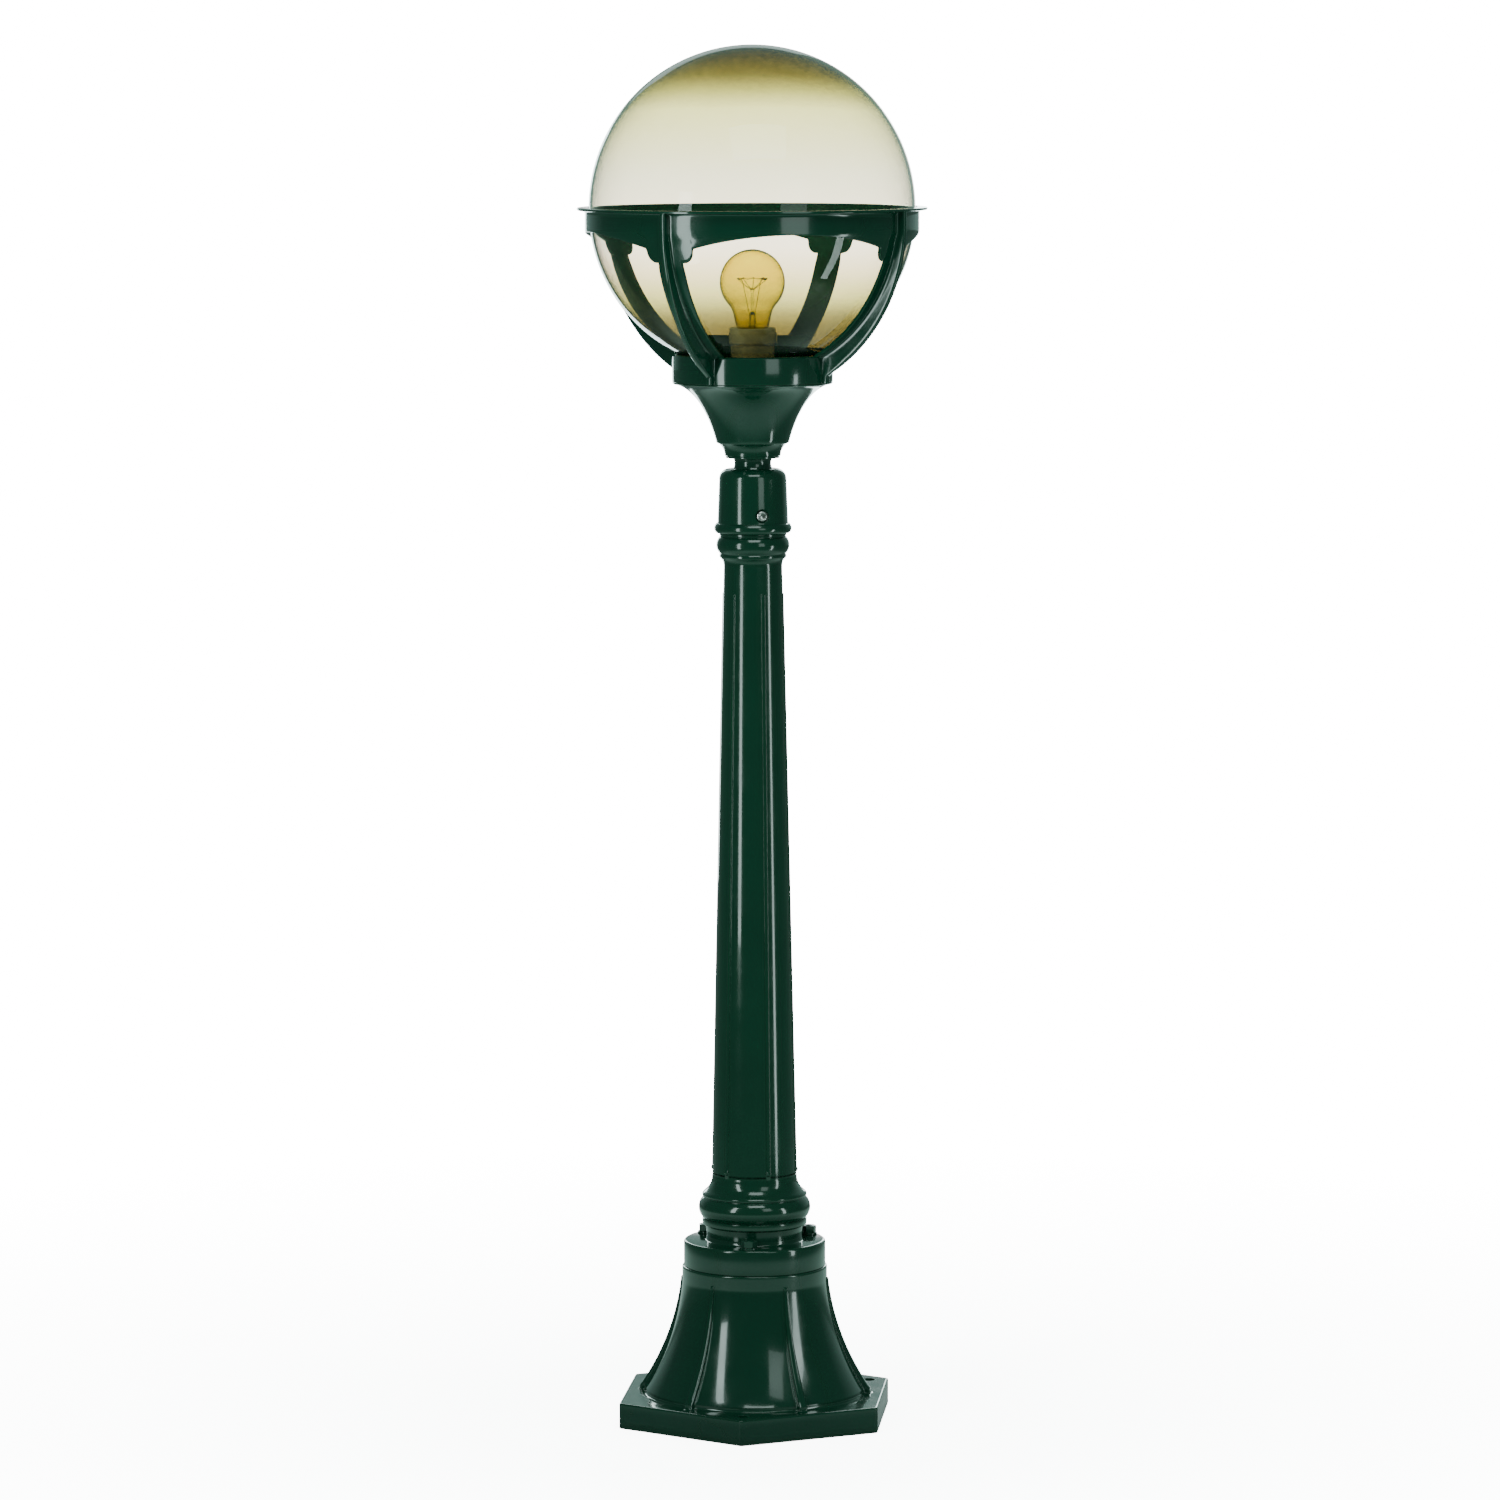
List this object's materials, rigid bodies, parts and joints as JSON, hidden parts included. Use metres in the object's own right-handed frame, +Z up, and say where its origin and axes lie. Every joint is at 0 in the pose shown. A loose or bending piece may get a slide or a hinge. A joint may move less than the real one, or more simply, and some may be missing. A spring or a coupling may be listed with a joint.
{
  "type": "pedestal lantern",
  "caption": "Cast pedestal lantern: glass globe in a four-arm basket on a tapered ribbed column with a hexagonal anchor base; the head turns, the globe lifts off and the bulb unscrews.",
  "frame": {"origin": "on the ground at the middle of the hexagonal base plate's underside", "axes": "+Z up along the column; one corner of the hexagon, with its anchor hole, points along -Y"},
  "size_m": [0.322, 0.322, 1.275],
  "materials": {
    "green_casting": "gloss",
    "green_steel": "gloss",
    "galvanised": "zinc plated",
    "stainless": "satin",
    "brass": "satin",
    "block_plastic": "moulded",
    "cable_sheath": "matt",
    "gasket_rubber": "matt",
    "porcelain": "glazed",
    "globe_glass": "clear, smoked",
    "lamp_glass": "clear",
    "stem_glass": "clear",
    "lamp_cap": "bright",
    "black_glass": "gloss",
    "tungsten": "drawn"
  },
  "bodies": {
    "post": {"base_casting": "green_casting", "column_foot": "green_casting", "flange_bolts": "galvanised", "flange_washers": "green_steel", "flange_nuts": "green_steel", "column_shaft": "green_casting", "column_capital": "green_casting", "post_spigot": "galvanised", "terminal_bracket": "galvanised", "terminal_screws": "galvanised", "terminal_block": "block_plastic", "earth_screw": "brass", "inner_cable": "cable_sheath"},
    "head": {"head_sleeve": "green_casting", "set_screws": "stainless", "neck_spacer": "green_casting", "cup": "green_casting", "stem_nipple": "galvanised", "stem_nuts": "galvanised", "basket_collar": "green_casting", "basket_arm_1": "green_casting", "basket_arm_2": "green_casting", "basket_arm_3": "green_casting", "basket_arm_4": "green_casting", "basket_rim": "green_casting", "basket_screws": "stainless", "globe_gasket": "gasket_rubber", "gear_tray": "green_steel", "lampholder_body": "porcelain", "lampholder_skirt": "porcelain", "lampholder_screws": "galvanised", "screw_shell": "brass", "socket_contact": "brass"},
    "globe": {"globe": "globe_glass"},
    "bulb_tip": {"bulb_contact": "galvanised"},
    "bulb": {"bulb_insulator": "black_glass", "bulb_cap": "lamp_cap", "bulb_glass": "lamp_glass", "bulb_stem": "stem_glass", "bulb_wires": "galvanised", "bulb_filament": "tungsten"}
  },
  "joints": [
    {"name": "head_turn", "type": "hinge", "parent": "post", "child": "head", "pos_m": [0, 0, 0.85], "axis": [0, 0, 1], "range_deg": [-180, 180]},
    {"name": "globe_lift", "type": "slide", "parent": "head", "child": "globe", "axis": [0, 0, 1], "range_m": [0, 0.2]},
    {"name": "bulb_travel", "type": "slide", "parent": "head", "child": "bulb_tip", "axis": [0, 0, 1], "range_m": [0, 0.022]},
    {"name": "bulb_turn", "type": "hinge", "parent": "bulb_tip", "child": "bulb", "pos_m": [0, 0, 1], "axis": [0, 0, 1], "range_deg": [0, 2160]}
  ],
  "couplings": [
    {"joint": "bulb_travel", "follows": "bulb_turn", "m_per_rad": 0.00057757}
  ]
}
